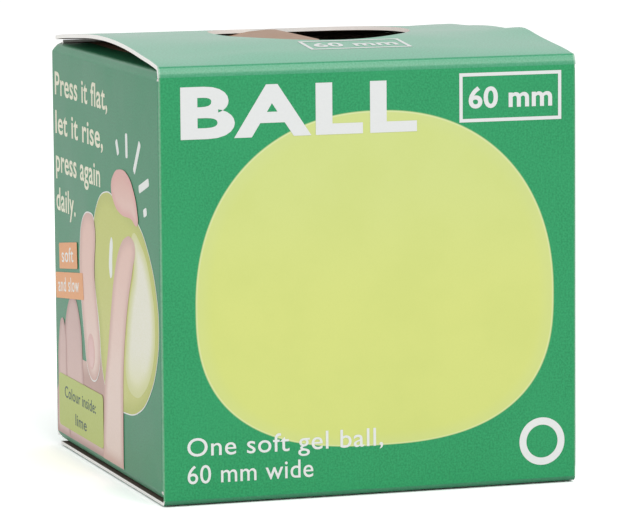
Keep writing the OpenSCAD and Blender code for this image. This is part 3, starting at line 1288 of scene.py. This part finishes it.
skinLow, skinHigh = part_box("ball_skin")
plugLow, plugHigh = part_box("filler_plug")
ballShape = {
    "radius": skinHigh.x,
    "low": skinLow.z,
    "height": skinHigh.z - skinLow.z,
    "belly": 0.43,
    "power": 2.6,
    "skin": 1.5 * mm,
    "holeRadius": 4.45 * mm,
    "steps": 26,
    "turns": 96,
    "seam": 0.06 * mm,
    "seamReach": 0.5 * mm,
    "keep": 0.78,
    "gelGap": 0.05 * mm,
    "stemGap": 0.2 * mm,
    "pocketRoom": 1.6 * mm,
    "headRoom": 0.7 * mm,
    "sharpAngle": 50,
}
plugShape = {
    "stemShare": 0.7,
    "headThick": 1.3 * mm,
    "edge": 0.35 * mm,
    "dimple": ((0.0, 0.25 * mm), (0.35, 0.22 * mm), (0.55, 0.02 * mm)),
}
ballLook = {
    "lime": (0.70, 0.76, 0.21), "shade": (0.60, 0.68, 0.16), "dust": (0.76, 0.80, 0.38),
    "gel": (0.60, 0.68, 0.17), "gelDeep": (0.50, 0.58, 0.12),
}


def softRubber(name, light, shade, dust, roughness, depth):
    material, tree, shader = newMaterial(name)
    place = objectPlace(tree)
    cloud = noiseOf(tree, place, 55.0, 4.0, 0.6)
    speck = noiseOf(tree, place, 1500.0, 3.0, 0.6)
    tone = mixTone(tree, rangeOf(tree, cloud, 0.3, 0.7), shade, light)
    tone = mixTone(tree, rangeOf(tree, speck, 0.55, 0.75, 0.0, 0.3), tone, dust)
    tree.links.new(tone, shader.inputs["Base Color"])
    rough = rangeOf(tree, cloud, 0.3, 0.7, roughness - 0.06, roughness + 0.06)
    tree.links.new(rough, shader.inputs["Roughness"])
    shader.inputs["Subsurface Weight"].default_value = 0.35
    shader.inputs["Subsurface Scale"].default_value = depth
    shader.inputs["Subsurface Radius"].default_value = (1.0, 0.9, 0.35)
    addBump(tree, shader, noiseOf(tree, place, 700.0, 4.0), 0.3, 0.03 * mm)
    return material


def ballProfile(inset):
    # half outline of the ball from the crown's hole down to the middle of its base
    shape = ballShape
    reach = shape["radius"] - inset
    above = shape["height"] * (1 - shape["belly"]) - inset
    below = shape["height"] * shape["belly"] - inset
    belt = shape["low"] + shape["height"] * shape["belly"]
    holeAngle = math.acos(shape["holeRadius"] / reach)
    half = shape["steps"] // 2
    power = 2 / shape["power"]
    domeAngles = [holeAngle * (1 - number / half) for number in range(half)]
    bowlAngles = [math.radians(90 * number / half) for number in range(half)]
    dome = [(reach * math.cos(angle), belt + above * math.sin(angle)) for angle in domeAngles]
    bowl = [
        (reach * math.cos(angle) ** power, belt - below * math.sin(angle) ** power)
        for angle in bowlAngles
    ]
    return dome + bowl + [(0.0, belt - below)]


def spinProfile(name, outline, materials):
    # turns a half outline round the upright axis
    solid = bmesh.new()
    verts = [solid.verts.new((radius, 0, height)) for radius, height in outline]
    edges = [solid.edges.new(pair) for pair in zip(verts, verts[1:])]
    bmesh.ops.spin(
        solid, geom=verts + edges, cent=(0, 0, 0), axis=(0, 0, 1), angle=math.tau,
        steps=ballShape["turns"], use_merge=True,
    )
    bmesh.ops.remove_doubles(solid, verts=solid.verts[:], dist=0.01 * mm)
    bmesh.ops.recalc_face_normals(solid, faces=solid.faces[:])
    return newPiece(name, solid, materials)


def squeezeBall(piece):
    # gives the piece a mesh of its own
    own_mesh(piece)


def buildSkin(rubber):
    shape = ballShape
    skin = spinProfile("ball_shell", ballProfile(0.0), (rubber,))
    wall = skin.modifiers.new("skin", "SOLIDIFY")
    wall.thickness = shape["skin"]
    wall.offset = -1
    wall.use_even_offset = True
    settle(skin, shape["sharpAngle"])
    belt = shape["low"] + shape["height"] * shape["belly"]
    for vert in skin.data.vertices:
        # a fine mould seam round the widest ring
        flat = Vector((vert.co.x, vert.co.y, 0))
        near = math.exp(-((vert.co.z - belt) / shape["seamReach"]) ** 2)
        if flat.length > shape["radius"] - shape["seamReach"]:
            vert.co += flat.normalized() * shape["seam"] * near
    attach(skin, "ball")
    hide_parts("ball_skin")
    squeezeBall(skin)


def buildGel(gelTone):
    # fills the skin, with a pocket for the plug's stem
    shape = ballShape
    inner = ballProfile(shape["skin"] + shape["gelGap"])
    pocketRadius = plugShape["stemShare"] * (plugHigh.x - plugLow.x) / 2 + shape["stemGap"]
    pocketFloor = plugLow.z - shape["pocketRoom"]
    ledge = inner[0][1] - shape["headRoom"]
    pocket = [(0.0, pocketFloor), (pocketRadius, pocketFloor), (pocketRadius, ledge), (inner[0][0], ledge)]
    gel = spinProfile("ball_gel_fill", pocket + inner, (gelTone,))
    settle(gel, shape["sharpAngle"])
    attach(gel, "ball")
    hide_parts("gel_core")
    squeezeBall(gel)


def buildPlug(rubber):
    shape = plugShape
    top = plugHigh.z
    head = (plugHigh.x - plugLow.x) / 2
    stem = shape["stemShare"] * head
    headLow = top - shape["headThick"]
    edge = shape["edge"]
    dimple = [(share * head, top - depth) for share, depth in shape["dimple"]]
    outline = dimple + [
        (head - edge, top), (head - 0.3 * edge, top - 0.3 * edge), (head, top - edge),
        (head, headLow), (stem, headLow),
        (stem, plugLow.z + edge), (stem - edge, plugLow.z), (0.0, plugLow.z),
    ]
    plug = spinProfile("ball_plug", outline, (rubber,))
    settle(plug, ballShape["sharpAngle"])
    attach(plug, "ball_crown")
    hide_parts("filler_plug")


def buildBall():
    look = ballLook
    rubber = softRubber("ball_rubber", look["lime"], look["shade"], look["dust"], 0.46, 2.5 * mm)
    gelTone = softRubber("ball_gel", look["gel"], look["gelDeep"], look["gel"], 0.2, 4 * mm)
    buildSkin(rubber)
    buildGel(gelTone)
    buildPlug(rubber)
    print("ball made")


buildBall()


# floor, light and camera

stageLook = {
    "floorSize": 24.0,
    "floorBounce": (0.76, 0.76, 0.76),
    "floorSeen": (1.45, 1.45, 1.45),
    "world": 0.70,
    "worldSeen": 1.0,
    # name, place, power and width
    "lamps": (
        ("key", (0.18, -0.80, 0.85), 5.2, 0.75),
        ("left_fill", (-1.05, -0.05, 0.42), 2.6, 0.9),
    ),
    "lampAim": (0, 0, 0.035),
}


def buildStage():
    look = stageLook
    ground = bmesh.new()
    bmesh.ops.create_grid(ground, x_segments=8, y_segments=8, size=look["floorSize"] / 2)
    material = bpy.data.materials.new("pale_floor")
    material.use_nodes = True
    tree = material.node_tree
    tree.nodes.clear()
    # the floor and the world look brighter than the light they give
    seen = addNode(tree, "ShaderNodeLightPath").outputs["Is Camera Ray"]
    tone = mixTone(tree, seen, look["floorBounce"], look["floorSeen"])
    matte = addNode(tree, "ShaderNodeBsdfDiffuse", {"Color": tone})
    addNode(tree, "ShaderNodeOutputMaterial", {"Surface": matte.outputs[0]})
    floor = newPiece("floor", ground, (material,))

    world = bpy.data.worlds.new("studio")
    world.use_nodes = True
    bpy.context.scene.world = world
    sky = world.node_tree.nodes["Background"]
    sky.inputs["Color"].default_value = (1.0, 1.0, 1.0, 1.0)
    seen = addNode(world.node_tree, "ShaderNodeLightPath").outputs["Is Camera Ray"]
    level = rangeOf(world.node_tree, seen, 0.0, 1.0, look["world"], look["worldSeen"])
    world.node_tree.links.new(level, sky.inputs["Strength"])

    for name, place, power, size in look["lamps"]:
        lamp = bpy.data.lights.new(name, "AREA")
        lamp.shape = "SQUARE"
        lamp.size = size
        lamp.energy = power
        holder = bpy.data.objects.new(name, lamp)
        holder.location = place
        aim = Vector(look["lampAim"]) - holder.location
        holder.rotation_euler = aim.to_track_quat("-Z", "Y").to_euler()
        bpy.context.scene.collection.objects.link(holder)
    print("stage lit")


buildStage()

cameraSet = {
    "at": (-0.22304, -0.70369, 0.12530),
    "turn": 17.62,
    "tip": 7.07,
    "roll": -0.458,
    "lens": 258.5,
    "sensor": 36.0,
    "near": 0.01,
    "far": 60,
}


def buildCamera():
    setting = cameraSet
    data = bpy.data.cameras.new("camera")
    data.sensor_fit = "HORIZONTAL"
    data.sensor_width = setting["sensor"]
    data.lens = setting["lens"]
    data.clip_start = setting["near"]
    data.clip_end = setting["far"]
    camera = bpy.data.objects.new("camera", data)
    turn = Matrix.Rotation(math.radians(-setting["turn"]), 4, "Z")
    tip = Matrix.Rotation(math.radians(90 - setting["tip"]), 4, "X")
    roll = Matrix.Rotation(math.radians(setting["roll"]), 4, "Z")
    camera.matrix_world = Matrix.Translation(setting["at"]) @ turn @ tip @ roll
    bpy.context.scene.collection.objects.link(camera)
    bpy.context.scene.camera = camera
    bpy.context.scene.view_settings.view_transform = "Standard"
    print("camera placed")


buildCamera()
